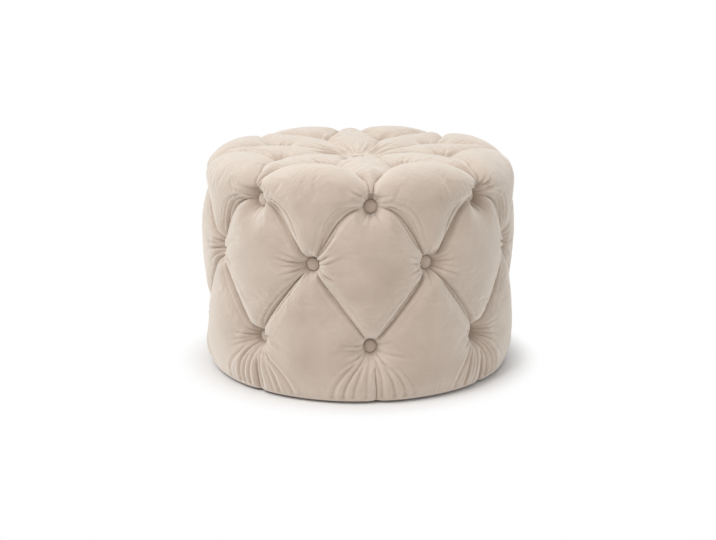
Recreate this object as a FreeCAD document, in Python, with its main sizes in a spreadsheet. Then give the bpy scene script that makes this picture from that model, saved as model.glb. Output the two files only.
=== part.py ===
import FreeCAD, Part
import Sketcher
import math
import os

# Deep buttoned round tuffet: a timber and board drum padded with foam and wadding, under one
# velvet cover that 33 covered buttons pull down to the drum. +Z is up and -Y is the front.
# The origin lies at the middle of the floor area under the tuffet.

SIZES = {
    # outer form
    "seat_diameter": 500,
    "seat_height": 358,
    "hem_taper": 15,
    "hem_height": 5,
    "shoulder_radius": 50,
    "dish_depth": 12,
    # button layout
    "columns": 8,
    "first_column_angle": 4.5,
    "upper_row_drop": 64,
    "lower_row_height": 84,
    "middle_row_share": 0.581,
    "top_ring_inset": 115,
    # depth of the tufts and of the pleats between them
    "side_tuft_depth": 37,
    "top_tuft_depth": 30,
    "pleat_depth": 13,
    "hem_pleat_depth": 3,
    "pleat_width": 5,
    # soft layers
    "velvet_thickness": 2,
    "turn_under": 45,
    "wadding_thickness": 4,
    "foam_thickness": 10,
    "foam_hole_width": 62,
    "soft_clearance": 0.3,
    # drum
    "wall_thickness": 4,
    "wall_flats": 48,
    "top_board_thickness": 12,
    "base_ring_thickness": 18,
    "base_ring_width": 94,
    "post_width": 35,
    "drum_edge_radius": 12,
    "wood_clearance": 0.3,
    # covered buttons, their twines and toggles
    "button_diameter": 19,
    "button_rim_height": 2,
    "button_dome_height": 2.8,
    "button_pit_margin": 1,
    "twine_width": 3,
    "twine_thickness": 1.5,
    "twine_hole_diameter": 5,
    "toggle_length": 18,
    "toggle_width": 6,
    "toggle_thickness": 3,
    # base cloth, glides and staples
    "base_cloth_margin": 10,
    "base_cloth_thickness": 0.8,
    "glide_diameter": 22,
    "glide_taper": 1.5,
    "glide_inset": 23,
    "glide_nail_width": 2.4,
    "glide_nail_length": 18,
    "staple_crown": 10,
    "staple_wire": 1.2,
    "staple_leg": 10,
    "staple_margin": 5,
    "cover_staple_count": 12,
    "cloth_staple_count": 8,
    "frame_staple_leg": 30,
}

POSTS = ("front_right_post", "rear_right_post", "rear_left_post", "front_left_post")

# Shares of the way from one row of buttons to the next at which the tufted forms have a ring,
# and how many facets each puff has across it, on the velvet's outside and below it.
RING_SHARES = (0, 0.18, 0.5, 0.82, 1)
HEM_SHARES = (0, 0.4, 0.75, 1)
TOP_SHARES = (0, 0.4, 1)
FINE = 4
PLAIN = 2

# How fast a puff swells from its edges, and where a button's dome bends, as shares of the
# button's radius and of the dome's height.
SWELL = 0.7
DOME_BEND_REACH = 0.65
DOME_BEND_RISE = 0.75

# What repeats has few sides.
BUTTON_SIDES = 8
GLIDE_SIDES = 16
TWINE_HOLE_SIDES = 6

doc = FreeCAD.newDocument("tuffet")
sheet = doc.addObject("Spreadsheet::Sheet", "sizes")
for row, (alias, number) in enumerate(SIZES.items(), start=1):
    sheet.set(f"A{row}", alias)
    sheet.set(f"B{row}", str(number))
    sheet.setAlias(f"B{row}", alias)
doc.recompute()

UP = FreeCAD.Vector(0, 0, 1)


def size(alias):
    return float(sheet.get(alias))


def blend(start, end, share):
    return start + (end - start) * share


def bound(kind, label, **expressions):
    """A document object whose properties follow the sheet."""
    made = doc.addObject(kind, label)
    made.Label = label
    for path, expression in expressions.items():
        made.setExpression(path.replace("__", "."), expression)
    return made


def solid_node(label, shape):
    """A sub-part whose shape is worked out in code from the sheet."""
    made = doc.addObject("Part::Feature", label)
    made.Label = label
    made.Shape = shape
    return made


def helper(label, shape):
    """A tool body that later booleans use."""
    return solid_node(label + "_tool", shape)


def cut(label, base, tool):
    made = doc.addObject("Part::Cut", label)
    made.Label = label
    made.Base = base
    made.Tool = tool
    return made


# Derived places that several pieces share, each written once as an expression on the sheet

CROWN_RADIUS = "(sizes.seat_diameter / 2)"
HEM_RADIUS = f"({CROWN_RADIUS} - sizes.hem_taper)"
PIT_RADIUS = f"({CROWN_RADIUS} - sizes.side_tuft_depth)"
PIT_HEIGHT = "(sizes.seat_height - sizes.top_tuft_depth)"
DRUM_RADIUS = f"({PIT_RADIUS} - sizes.velvet_thickness - sizes.soft_clearance)"
DRUM_INNER_RADIUS = f"({DRUM_RADIUS} - sizes.wall_thickness)"
BOARD_TOP = f"({PIT_HEIGHT} - sizes.velvet_thickness - sizes.soft_clearance)"
BOARD_BOTTOM = f"({BOARD_TOP} - sizes.top_board_thickness)"
BASE_BOTTOM = "(sizes.hem_height + sizes.velvet_thickness + sizes.soft_clearance)"
BASE_TOP = f"({BASE_BOTTOM} + sizes.base_ring_thickness)"
SKIN_AT_HEM = "(sizes.velvet_thickness + sizes.wadding_thickness + 2 * sizes.soft_clearance)"
FLAT_SHARE = "cos(90deg / sizes.columns)"
BASE_RADIUS = f"({HEM_RADIUS} * {FLAT_SHARE} - {SKIN_AT_HEM})"
BASE_OPENING_RADIUS = f"({BASE_RADIUS} - sizes.base_ring_width)"
CLOTH_BOTTOM = "(sizes.hem_height - sizes.base_cloth_thickness)"
CLOTH_RADIUS = f"({HEM_RADIUS} - sizes.base_cloth_margin)"
GLIDE_CIRCLE_RADIUS = f"({HEM_RADIUS} - sizes.glide_inset)"
UPPER_ROW = "(sizes.seat_height - sizes.upper_row_drop)"
LOWER_ROW = "sizes.lower_row_height"
MIDDLE_ROW = f"({LOWER_ROW} + ({UPPER_ROW} - {LOWER_ROW}) * sizes.middle_row_share)"
TOP_RING_RADIUS = f"({CROWN_RADIUS} - sizes.top_ring_inset)"


def number(expression):
    return float(sheet.evalExpression(expression))


crown_radius = number(CROWN_RADIUS)
hem_radius = number(HEM_RADIUS)
pit_radius = number(PIT_RADIUS)
pit_height = number(PIT_HEIGHT)
drum_radius = number(DRUM_RADIUS)
drum_inner_radius = number(DRUM_INNER_RADIUS)
board_top = number(BOARD_TOP)
board_bottom = number(BOARD_BOTTOM)
base_bottom = number(BASE_BOTTOM)
base_top = number(BASE_TOP)
base_radius = number(BASE_RADIUS)
cloth_bottom = number(CLOTH_BOTTOM)
cloth_radius = number(CLOTH_RADIUS)
upper_row = number(UPPER_ROW)
middle_row = number(MIDDLE_ROW)
lower_row = number(LOWER_ROW)
top_ring_radius = number(TOP_RING_RADIUS)
pit_half = size("button_diameter") / 2 + size("button_pit_margin")
columns = int(size("columns"))
pitch = 360 / columns
column_angle = size("first_column_angle") - 90
post_angle = column_angle + pitch / 4


# Tufted form


def side_guides(height, flare=0.0):
    """Crown and floor of the padding at one height of the side, as (radius, height) pairs."""
    crown = (blend(crown_radius, hem_radius, flare**2), height)
    return crown, (pit_radius, height)


def corner(radius, height, rounding, start_height, end_radius, end_height, stage, share):
    """A point on a path that rises, turns over an arc and runs inwards."""
    if stage == "rise":
        return radius, blend(start_height, height - rounding, share)
    if stage == "turn":
        turn = math.radians(90 * share)
        across = radius - rounding + rounding * math.cos(turn)
        return across, height - rounding + rounding * math.sin(turn)
    return blend(radius - rounding, end_radius, share), blend(height, end_height, share)


def dish_height(radius):
    """Height of the crowns on the top, which fall towards the middle."""
    flat = crown_radius - size("shoulder_radius")
    return size("seat_height") - size("dish_depth") * (1 - radius / flat)


def shoulder_guides(share):
    """Crown and floor on the way from the upper row over the edge to the top ring."""
    start = upper_row + pit_half
    end = top_ring_radius + pit_half
    rounding = size("shoulder_radius")
    rise = size("seat_height") - rounding - start
    turn = math.pi / 2 * rounding
    inward = crown_radius - rounding - end
    way = share * (rise + turn + inward)
    if way < rise:
        stage, part = "rise", way / rise
    elif way < rise + turn:
        stage, part = "turn", (way - rise) / turn
    else:
        stage, part = "inward", (way - rise - turn) / inward
    crown = corner(crown_radius, size("seat_height"), rounding, start, end, dish_height(end), stage, part)
    floor = corner(pit_radius, pit_height, size("drum_edge_radius"), start, end, pit_height, stage, part)
    return crown, floor


def top_guides(share):
    """Crown and floor on the way from the top ring to the middle button."""
    radius = blend(top_ring_radius - pit_half, pit_half, share)
    return (radius, dish_height(radius)), (radius, pit_height)


def valley(share, start=1.0, end=1.0):
    """Depth of the pleat between two rows, as a share of the way from crown to floor."""
    middle = size("pleat_depth") / size("side_tuft_depth")
    edge = start if share < 0.5 else end
    return middle + (edge - middle) * abs(1 - 2 * share) ** 3


def tuft_ring(guides, phase, fold, valley_depth, sunk, half_width, facets, inset):
    """One closed ring of points.

    The even strips are centred on the columns of the upper and lower rows and the odd strips
    on those of the middle row. Phase 0 draws the even strips in to a pit or a pleat, and
    phase 1 the odd ones. Sunk lowers the crowns, and fold says that the narrow strip is flat.
    """
    (crown_r, crown_z), (floor_r, floor_z) = guides
    reach = math.hypot(floor_r - crown_r, floor_z - crown_z)
    narrow = math.degrees(math.asin(half_width / max(floor_r, 2 * half_width)))
    half_even = blend(narrow, pitch / 2 - narrow, phase)
    points = []
    for column in range(columns):
        middle = column * pitch
        strips = (
            (middle - half_even, middle + half_even, phase),
            (middle + half_even, middle + pitch - half_even, 1 - phase),
        )
        for start, end, width in strips:
            top_depth = min(valley_depth, max((1 - width) ** 3, sunk))
            for step in range(facets):
                share = step / facets
                swell = math.sin(math.pi * share) ** SWELL
                depth = blend(valley_depth, top_depth, swell) + inset / reach
                angle = blend(start, end, share)
                radius = blend(crown_r, floor_r, depth)
                if fold and width == 0:
                    radius /= math.cos(math.radians(angle - (start + end) / 2))
                turn = math.radians(angle + column_angle)
                height = blend(crown_z, floor_z, depth)
                points.append(FreeCAD.Vector(radius * math.cos(turn), radius * math.sin(turn), height))
    return points


def tuft_rings(facets, inset, bottom):
    """Rings from the hem up the side, over the shoulder and in to the middle button."""
    hem_share = size("hem_pleat_depth") / (hem_radius - pit_radius)
    pleat_half = size("pleat_width") / 2
    rings = []
    for share in HEM_SHARES:
        height = max(bottom, blend(size("hem_height"), lower_row - pit_half, share))
        guides = side_guides(height, 1 - share)
        half = blend(pleat_half, pit_half, share**2)
        rings.append(tuft_ring(guides, 0, share == 1, valley(share, hem_share), 0, half, facets, inset))
    for share in RING_SHARES:
        guides = side_guides(blend(lower_row + pit_half, middle_row - pit_half, share))
        flat = share in (0, 1)
        rings.append(tuft_ring(guides, share, flat, valley(share), 0, pit_half, facets, inset))
    for share in RING_SHARES:
        guides = side_guides(blend(middle_row + pit_half, upper_row - pit_half, share))
        flat = share in (0, 1)
        rings.append(tuft_ring(guides, 1 - share, flat, valley(share), 0, pit_half, facets, inset))
    for share in RING_SHARES:
        guides = shoulder_guides(share)
        rings.append(tuft_ring(guides, share, share == 0, valley(share), 0, pit_half, facets, inset))
    for share in TOP_SHARES:
        half = blend(pit_half, pleat_half, share**0.5)
        guides = top_guides(share)
        rings.append(tuft_ring(guides, 1, False, valley(share), share**3, half, facets, inset))
    return rings


def facets_between(lower, upper, guide_lower, guide_upper):
    """Flat facets between two rings, each quad split along the guide rings' shorter diagonal."""
    faces = []
    count = len(lower)
    for index in range(count):
        following = (index + 1) % count
        a, b, c, d = lower[index], lower[following], upper[following], upper[index]
        rising = (guide_upper[following] - guide_lower[index]).Length
        falling = (guide_upper[index] - guide_lower[following]).Length
        halves = ((a, b, c), (a, c, d)) if rising < falling else ((a, b, d), (b, c, d))
        for corners in halves:
            faces.append(Part.Face(Part.makePolygon(corners + corners[:1])))
    return faces


def closed_solid(faces):
    """A solid from faces that close."""
    shell = Part.Shell(faces)
    shell.sewShape()
    solid = Part.Solid(shell)
    if solid.Volume < 0:
        solid.reverse()
    return solid


def tufted_solid(facets, inset, bottom):
    """The tufted body at an inset from the velvet's outer surface, closed flat at its hem."""
    rings = tuft_rings(facets, inset, bottom)
    guides = tuft_rings(facets, 0, size("hem_height"))
    faces = [Part.Face(Part.makePolygon(ring + ring[:1])) for ring in (rings[0], rings[-1])]
    for index in range(len(rings) - 1):
        following = index + 1
        faces += facets_between(rings[index], rings[following], guides[index], guides[following])
    return closed_solid(faces).removeSplitter()


# Places of the buttons


def side_places(radius, height, offset):
    """Places round one row, with local Z outwards and local Y upwards."""
    places = []
    for column in range(columns):
        angle = math.radians(column_angle + (column + offset) * pitch)
        outwards = FreeCAD.Vector(math.cos(angle), math.sin(angle), 0)
        sideways = FreeCAD.Vector(-math.sin(angle), math.cos(angle), 0)
        turned = FreeCAD.Rotation(sideways, UP, outwards, "ZXY")
        places.append(FreeCAD.Placement(outwards * radius + UP * height, turned))
    return places


def top_places(height):
    """Places of the middle button and of the top ring, with local Z upwards."""
    places = [FreeCAD.Placement(UP * height, FreeCAD.Rotation())]
    for column in range(columns):
        angle = column_angle + (column + 0.5) * pitch
        turned = FreeCAD.Rotation(UP, angle)
        spot = turned.multVec(FreeCAD.Vector(top_ring_radius, 0, height))
        places.append(FreeCAD.Placement(spot, turned))
    return places


ROWS = {
    "upper_row": (upper_row, 0),
    "middle_row": (middle_row, 0.5),
    "lower_row": (lower_row, 0),
}


def group(prototype, places):
    """Copies of one shape, each at its place."""
    copies = []
    for spot in places:
        copy = prototype.copy()
        copy.Placement = spot
        copies.append(copy)
    return Part.makeCompound(copies)


def all_button_places(side_radius, top_height):
    places = top_places(top_height)
    for height, offset in ROWS.values():
        places += side_places(side_radius, height, offset)
    return places


def centred_box(width, depth, height, bottom=0.0):
    return Part.makeBox(width, depth, height, FreeCAD.Vector(-width / 2, -depth / 2, bottom))


# Covered buttons, twines and toggles


def covered_button():
    """A flat back, an upright rim and a shallow dome, faceted round the local Z axis."""
    radius = size("button_diameter") / 2
    rim = size("button_rim_height")
    dome = size("button_dome_height")
    turns = [FreeCAD.Rotation(UP, 360 * index / BUTTON_SIDES) for index in range(BUTTON_SIDES + 1)]
    bend = (radius * DOME_BEND_REACH, rim + dome * DOME_BEND_RISE)
    outlines = []
    for reach, height in ((radius, 0), (radius, rim), bend):
        outlines.append([turned.multVec(FreeCAD.Vector(reach, 0, height)) for turned in turns])
    apex = FreeCAD.Vector(0, 0, rim + dome)
    faces = [Part.Face(Part.makePolygon(outlines[0]))]
    for side in range(BUTTON_SIDES):
        for lower, upper in zip(outlines, outlines[1:]):
            corners = [lower[side], lower[side + 1], upper[side + 1], upper[side], lower[side]]
            faces.append(Part.Face(Part.makePolygon(corners)))
        crown = [outlines[-1][side], outlines[-1][side + 1], apex, outlines[-1][side]]
        faces.append(Part.Face(Part.makePolygon(crown)))
    return closed_solid(faces)


def make_buttons():
    button = covered_button()
    seat = size("soft_clearance")
    solid_node("top_buttons", group(button, top_places(pit_height + seat)))
    for name, (height, offset) in ROWS.items():
        solid_node(name + "_buttons", group(button, side_places(pit_radius + seat, height, offset)))


def twine(length):
    """A doubled twine as one flat run along the local Z axis."""
    return centred_box(size("twine_width"), size("twine_thickness"), length, -length)


def make_twines():
    seat = size("soft_clearance")
    side_length = pit_radius - drum_inner_radius + 2 * seat
    top_length = pit_height - board_bottom + 2 * seat
    solid_node("top_twines", group(twine(top_length), top_places(pit_height + seat)))
    for name, (height, offset) in ROWS.items():
        places = side_places(pit_radius + seat, height, offset)
        solid_node(name + "_twines", group(twine(side_length), places))


def make_toggles():
    """Flat toggles that hold the twines against the inner faces of the wall and top board."""
    thickness = size("toggle_thickness")
    bar = centred_box(size("toggle_width"), size("toggle_length"), thickness, -thickness)
    seat = size("soft_clearance")
    places = all_button_places(drum_inner_radius - seat, board_bottom - seat)
    solid_node("twine_toggles", group(bar, places))


def pierced_slits():
    """The slits that the twines pass through in the velvet."""
    clearance = size("soft_clearance")
    reach = 2 * size("velvet_thickness") + pit_half
    width = size("twine_width") + 2 * clearance
    depth = size("twine_thickness") + 2 * clearance
    slit = centred_box(width, depth, reach, -reach / 2)
    return group(slit, all_button_places(pit_radius, pit_height))


# Staples and glides


def staple(leg):
    """A staple with its crown under the XY plane and its legs up the Z axis."""
    crown = size("staple_crown")
    wire = size("staple_wire")
    blank = centred_box(crown, wire, leg + wire, -wire)
    window = centred_box(crown - 2 * wire, wire, leg)
    return blank.cut(window)


def staple_pocket(leg):
    """The space that a staple needs, its crown sunk and its legs up the Z axis."""
    play = size("wood_clearance")
    wire = size("staple_wire")
    offset = (size("staple_crown") - wire) / 2
    pocket = centred_box(wire + 2 * play, wire + 2 * play, leg + play)
    pockets = [centred_box(size("staple_crown") + 2 * play, wire + 2 * play, wire + play, -wire - play)]
    for side in (-offset, offset):
        pocket_at = pocket.copy()
        pocket_at.Placement.Base = FreeCAD.Vector(side, 0, 0)
        pockets.append(pocket_at)
    return Part.makeCompound(pockets)


def ring_places(count, radius, height, first_angle):
    """Places on a circle under the base, with the local X axis along the circle."""
    places = []
    for index in range(count):
        angle = first_angle + index * 360 / count
        turned = FreeCAD.Rotation(UP, angle + 90)
        spot = FreeCAD.Rotation(UP, angle).multVec(FreeCAD.Vector(radius, 0, height))
        places.append(FreeCAD.Placement(spot, turned))
    return places


def cover_staple_places():
    """Staples sunk into the turned under velvet."""
    radius = hem_radius - size("turn_under") + size("staple_margin")
    count = int(size("cover_staple_count"))
    return ring_places(count, radius, size("hem_height") + size("staple_wire"), 180 / count)


def cloth_staple_places():
    count = int(size("cloth_staple_count"))
    radius = cloth_radius - size("staple_margin")
    return ring_places(count, radius, cloth_bottom, 0)


def glide_places(height):
    return ring_places(len(POSTS), number(GLIDE_CIRCLE_RADIUS), height, post_angle)


def frame_staple_places():
    """Sunk staples into both ends of each post, through the top board and the base ring."""
    sunk = size("staple_wire")
    above = upside_down(ring_places(len(POSTS), post_centre(), board_top - sunk, post_angle))
    return above + ring_places(len(POSTS), post_centre(), base_bottom + sunk, post_angle)


def upside_down(places):
    flip = FreeCAD.Placement(FreeCAD.Vector(), FreeCAD.Rotation(FreeCAD.Vector(1, 0, 0), 180))
    return [spot.multiply(flip) for spot in places]


def post_centre():
    """Radius of the posts' centres, with their outer corners against the wall."""
    corner_radius = drum_inner_radius - size("wood_clearance")
    return math.sqrt(corner_radius**2 - (size("post_width") / 2) ** 2) - size("post_width") / 2


# Timber drum


def origin_feature(body, role):
    return next(item for item in body.Origin.OriginFeatures if item.Role == role)


def flat_sketch(body, name):
    """A sketch on the body's own XY plane."""
    sketch = body.newObject("Sketcher::SketchObject", name)
    sketch.AttachmentSupport = (origin_feature(body, "XY_Plane"), [""])
    sketch.MapMode = "FlatFace"
    return sketch


def circle_on(sketch, diameter, across="0", construction=False):
    """A circle whose diameter and centre follow expressions."""
    centre = FreeCAD.Vector(number(across), 0, 0)
    width = number(diameter)
    geometry = sketch.addGeometry(Part.Circle(centre, UP, width / 2), construction)
    constraint = sketch.addConstraint(Sketcher.Constraint("Diameter", geometry, width))
    sketch.setExpression(f"Constraints[{constraint}]", diameter)
    constraint = sketch.addConstraint(Sketcher.Constraint("DistanceX", -1, 1, geometry, 3, centre.x))
    sketch.setExpression(f"Constraints[{constraint}]", across)
    sketch.addConstraint(Sketcher.Constraint("DistanceY", -1, 1, geometry, 3, 0))
    return geometry


def faceted_hole_on(sketch, diameter, across="0"):
    """A regular polygon whose corners lie on a circle that follows expressions."""
    circle = circle_on(sketch, diameter, across, True)
    centre = FreeCAD.Vector(number(across), 0, 0)
    reach = FreeCAD.Vector(number(diameter) / 2, 0, 0)
    corners = []
    for index in range(TWINE_HOLE_SIDES):
        turned = FreeCAD.Rotation(UP, 360 * index / TWINE_HOLE_SIDES)
        corners.append(centre + turned.multVec(reach))
    sides = []
    for index, corner_point in enumerate(corners):
        following = corners[(index + 1) % TWINE_HOLE_SIDES]
        sides.append(sketch.addGeometry(Part.LineSegment(corner_point, following), False))
    for index, side in enumerate(sides):
        sketch.addConstraint(Sketcher.Constraint("PointOnObject", side, 1, circle))
        if index > 0:
            sketch.addConstraint(Sketcher.Constraint("Equal", sides[0], side))
        following = sides[(index + 1) % TWINE_HOLE_SIDES]
        sketch.addConstraint(Sketcher.Constraint("Coincident", side, 2, following, 1))
    sketch.addConstraint(Sketcher.Constraint("Horizontal", sides[1]))


def make_top_board():
    """The top board with one twine hole in the middle and a ring of them round it."""
    body = doc.addObject("PartDesign::Body", "plain_top_board")
    outline = flat_sketch(body, "top_board_outline")
    circle_on(outline, f"2 * ({DRUM_INNER_RADIUS} - sizes.wood_clearance)")
    board = body.newObject("PartDesign::Pad", "top_board_pad")
    board.Profile = outline
    board.setExpression("Length", "sizes.top_board_thickness")
    middle_hole = flat_sketch(body, "middle_hole_outline")
    faceted_hole_on(middle_hole, "sizes.twine_hole_diameter")
    middle = body.newObject("PartDesign::Pocket", "middle_hole")
    middle.Profile = middle_hole
    middle.Reversed = True
    middle.Type = "ThroughAll"
    ring_hole = flat_sketch(body, "ring_hole_outline")
    faceted_hole_on(ring_hole, "sizes.twine_hole_diameter", TOP_RING_RADIUS)
    first = body.newObject("PartDesign::Pocket", "ring_hole")
    first.Profile = ring_hole
    first.Reversed = True
    first.Type = "ThroughAll"
    ring = body.newObject("PartDesign::PolarPattern", "ring_of_holes")
    ring.Originals = [first]
    ring.Axis = (origin_feature(body, "Z_Axis"), [""])
    ring.Angle = 360
    ring.setExpression("Occurrences", "sizes.columns")
    body.Tip = ring
    body.Placement = FreeCAD.Placement(FreeCAD.Vector(), FreeCAD.Rotation(UP, column_angle + pitch / 2))
    body.setExpression(".Placement.Base.z", BOARD_BOTTOM)
    return body


def make_base_ring():
    """The ring that the drum stands on, open in the middle so that a hand can tie the twines."""
    body = doc.addObject("PartDesign::Body", "plain_base_ring")
    outline = flat_sketch(body, "base_ring_outline")
    circle_on(outline, f"2 * {BASE_RADIUS}")
    circle_on(outline, f"2 * {BASE_OPENING_RADIUS}")
    ring = body.newObject("PartDesign::Pad", "base_ring_pad")
    ring.Profile = outline
    ring.setExpression("Length", "sizes.base_ring_thickness")
    body.setExpression(".Placement.Base.z", BASE_BOTTOM)
    return body


def make_drum_wall():
    """The wall of kerfed board, which bends in flats, from the base ring up past the top board."""
    faces = []
    for label, radius in (("wall_outside", DRUM_RADIUS), ("wall_inside", DRUM_INNER_RADIUS)):
        face = bound(
            "Part::Prism",
            label,
            Polygon="sizes.wall_flats",
            Circumradius=f"{radius} / cos(180deg / sizes.wall_flats)",
            Height=f"{BOARD_TOP} - {BASE_TOP}",
        )
        half_flat = 180 / size("wall_flats")
        face.Placement = FreeCAD.Placement(FreeCAD.Vector(), FreeCAD.Rotation(UP, column_angle + half_flat))
        face.setExpression(".Placement.Base.z", BASE_TOP)
        faces.append(face)
    outside, inside = faces
    reach = 2 * size("wall_thickness")
    drill = prism_round(size("twine_hole_diameter") / 2, -reach, reach, TWINE_HOLE_SIDES)
    places = []
    for height, offset in ROWS.values():
        places += side_places(drum_radius, height, offset)
    return cut("drum_wall", cut("plain_wall", outside, inside), helper("wall_drill", group(drill, places)))


def make_posts():
    """Four square posts between the base ring and the top board, clear of every twine."""
    posts = []
    for label, place_on_ring in zip(POSTS, ring_places(len(POSTS), post_centre(), base_top, post_angle)):
        post = bound(
            "Part::Box",
            "plain_" + label,
            Length="sizes.post_width",
            Width="sizes.post_width",
            Height=f"{BOARD_BOTTOM} - {BASE_TOP}",
        )
        half = size("post_width") / 2
        corner_offset = FreeCAD.Placement(FreeCAD.Vector(-half, -half, 0), FreeCAD.Rotation())
        post.Placement = place_on_ring.multiply(corner_offset)
        posts.append(post)
    return posts


# Soft layers


def prism_round(radius, bottom, top, sides):
    """An upright prism whose flats face the columns and lie on a circle."""
    corners = []
    for index in range(sides + 1):
        angle = math.radians(column_angle + (index + 0.5) * 360 / sides)
        reach = radius / math.cos(math.pi / sides)
        corners.append(FreeCAD.Vector(reach * math.cos(angle), reach * math.sin(angle), bottom))
    return Part.Face(Part.makePolygon(corners)).extrude(UP * (top - bottom))


def timber_envelope():
    """The space of the drum and its base ring, with the soft clearance all round."""
    clearance = size("soft_clearance")
    below = base_bottom - clearance
    drum = prism_round(drum_radius + clearance, below, board_top + clearance, 2 * columns)
    base = prism_round(base_radius + clearance, below, base_top + clearance, 8 * columns)
    return drum.fuse(base)


def make_velvet_cover():
    """The tufted velvet, turned under the base ring and slit where the twines pass."""
    thickness = size("velvet_thickness")
    velvet = tufted_solid(FINE, 0, size("hem_height"))
    velvet = velvet.cut(tufted_solid(PLAIN, thickness, size("hem_height") + thickness))
    inner_edge = hem_radius - size("turn_under")
    opening = prism_round(inner_edge, 0, size("hem_height") + 2 * thickness, 4 * columns)
    return velvet.cut([opening, pierced_slits()])


def foam_envelope(grown):
    """Band and slab as one plain body over the drum."""
    reach = size("soft_clearance") + size("foam_thickness") + grown
    return prism_round(drum_radius + reach, base_bottom - reach, board_top + reach, 2 * columns)


def make_wadding():
    """The fibre that fills the puffs between velvet and foam, parted where the buttons sit."""
    clearance = size("soft_clearance")
    filled = tufted_solid(PLAIN, size("velvet_thickness") + clearance, base_bottom)
    return filled.cut([foam_envelope(clearance), timber_envelope()])


def make_foams():
    """The foam band round the wall and the foam slab on the top board, punched at the buttons."""
    clearance = size("soft_clearance")
    width = size("foam_hole_width")
    punch = centred_box(width, width, 4 * size("foam_thickness"), -2 * size("foam_thickness"))
    foam = foam_envelope(0).cut([timber_envelope(), group(punch, all_button_places(drum_radius, board_top))])
    foam = foam.common(tufted_solid(PLAIN, size("velvet_thickness") + clearance, base_bottom))
    over_board = Part.makeBox(2 * crown_radius, 2 * crown_radius, crown_radius)
    over_board.translate(FreeCAD.Vector(-crown_radius, -crown_radius, board_top + clearance))
    return foam.cut(over_board), foam.common(over_board)


# Underside


def make_staples():
    """Staples through the turned under velvet, through the base cloth and down into the posts."""
    lying = staple(size("staple_leg"))
    solid_node("cover_staples", group(lying, cover_staple_places()))
    solid_node("base_cloth_staples", group(lying, cloth_staple_places()))
    driven = staple(size("frame_staple_leg"))
    solid_node("frame_staples", group(driven, frame_staple_places()))


def make_base_cloth():
    """The thin cloth that closes the underside, over the raw edge of the velvet."""
    cloth = bound(
        "Part::Prism",
        "plain_base_cloth",
        Polygon="4 * sizes.columns",
        Circumradius=CLOTH_RADIUS,
        Height="sizes.base_cloth_thickness",
    )
    cloth.setExpression(".Placement.Base.z", CLOTH_BOTTOM)
    return cloth


def glide_nail_hole():
    width = size("glide_nail_width") + 2 * size("wood_clearance")
    return centred_box(width, width, size("glide_nail_length") + size("wood_clearance"), cloth_bottom / 2)


def make_glides():
    """Four flat plastic glides, each with a square nail up through cloth and velvet."""
    radius = size("glide_diameter") / 2
    outlines = []
    for reach, height in ((radius - size("glide_taper"), 0), (radius, cloth_bottom)):
        corners = []
        for index in range(GLIDE_SIDES + 1):
            turned = FreeCAD.Rotation(UP, 360 * index / GLIDE_SIDES)
            corners.append(turned.multVec(FreeCAD.Vector(reach, 0, height)))
        outlines.append(Part.makePolygon(corners))
    foot = Part.makeLoft(outlines, True, True)
    solid_node("glides", group(foot.cut(glide_nail_hole()), glide_places(0)))
    width = size("glide_nail_width")
    nail = centred_box(width, width, size("glide_nail_length"), cloth_bottom / 2)
    solid_node("glide_nails", group(nail, glide_places(0)))


def make_model():
    """Every sub-part, with the pockets that its fasteners need."""
    pocket = staple_pocket(size("staple_leg"))
    cover_pockets = group(pocket, cover_staple_places())
    cloth_pockets = group(pocket, cloth_staple_places())
    nail_holes = group(glide_nail_hole(), glide_places(0))
    frame_pockets = group(staple_pocket(size("frame_staple_leg")), frame_staple_places())
    frame_tools = helper("frame", frame_pockets)
    cloth_tools = helper("cloth", Part.makeCompound([cloth_pockets, nail_holes]))
    velvet_tools = helper("velvet", Part.makeCompound([cover_pockets, cloth_pockets, nail_holes]))
    base_pockets = Part.makeCompound([cover_pockets, cloth_pockets, nail_holes, frame_pockets])
    base_tools = helper("base", base_pockets)
    cut("top_board", make_top_board(), frame_tools)
    cut("base_ring", make_base_ring(), base_tools)
    make_drum_wall()
    for post in make_posts():
        cut(post.Label.replace("plain_", ""), post, frame_tools)
    side_foam, top_foam = make_foams()
    solid_node("side_foam", side_foam)
    solid_node("top_foam", top_foam)
    solid_node("wadding", make_wadding())
    velvet = make_velvet_cover()
    solid_node("velvet_cover", velvet.cut(velvet_tools.Shape))
    make_buttons()
    make_twines()
    make_toggles()
    cut("base_cloth", make_base_cloth(), cloth_tools)
    make_glides()
    make_staples()
    doc.recompute()


NODES = (
    "top_board",
    "base_ring",
    "drum_wall",
    *POSTS,
    "side_foam",
    "top_foam",
    "wadding",
    "velvet_cover",
    "top_buttons",
    "upper_row_buttons",
    "middle_row_buttons",
    "lower_row_buttons",
    "top_twines",
    "upper_row_twines",
    "middle_row_twines",
    "lower_row_twines",
    "twine_toggles",
    "base_cloth",
    "glides",
    "glide_nails",
    "cover_staples",
    "base_cloth_staples",
    "frame_staples",
)


def check_and_write():
    """Stop on anything invalid, then write each sub-part to its own file."""
    for item in doc.Objects:
        if "Invalid" in item.State or "Error" in item.State:
            raise RuntimeError(f"{item.Label} failed to build: {item.State}")
    for label in NODES:
        shape = doc.getObjectsByLabel(label)[0].Shape
        if shape.isNull() or not shape.isValid():
            raise RuntimeError(f"{label} has no valid shape")
        print(label, len(shape.Solids), "solids", round(shape.Volume), "mm3")
    os.makedirs("parts", exist_ok=True)
    for label in NODES:
        doc.getObjectsByLabel(label)[0].Shape.exportStep(f"parts/{label}.step")


make_model()
check_and_write()
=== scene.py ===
import bpy
import math
import numpy as np
from mathutils import Matrix, Vector

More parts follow.
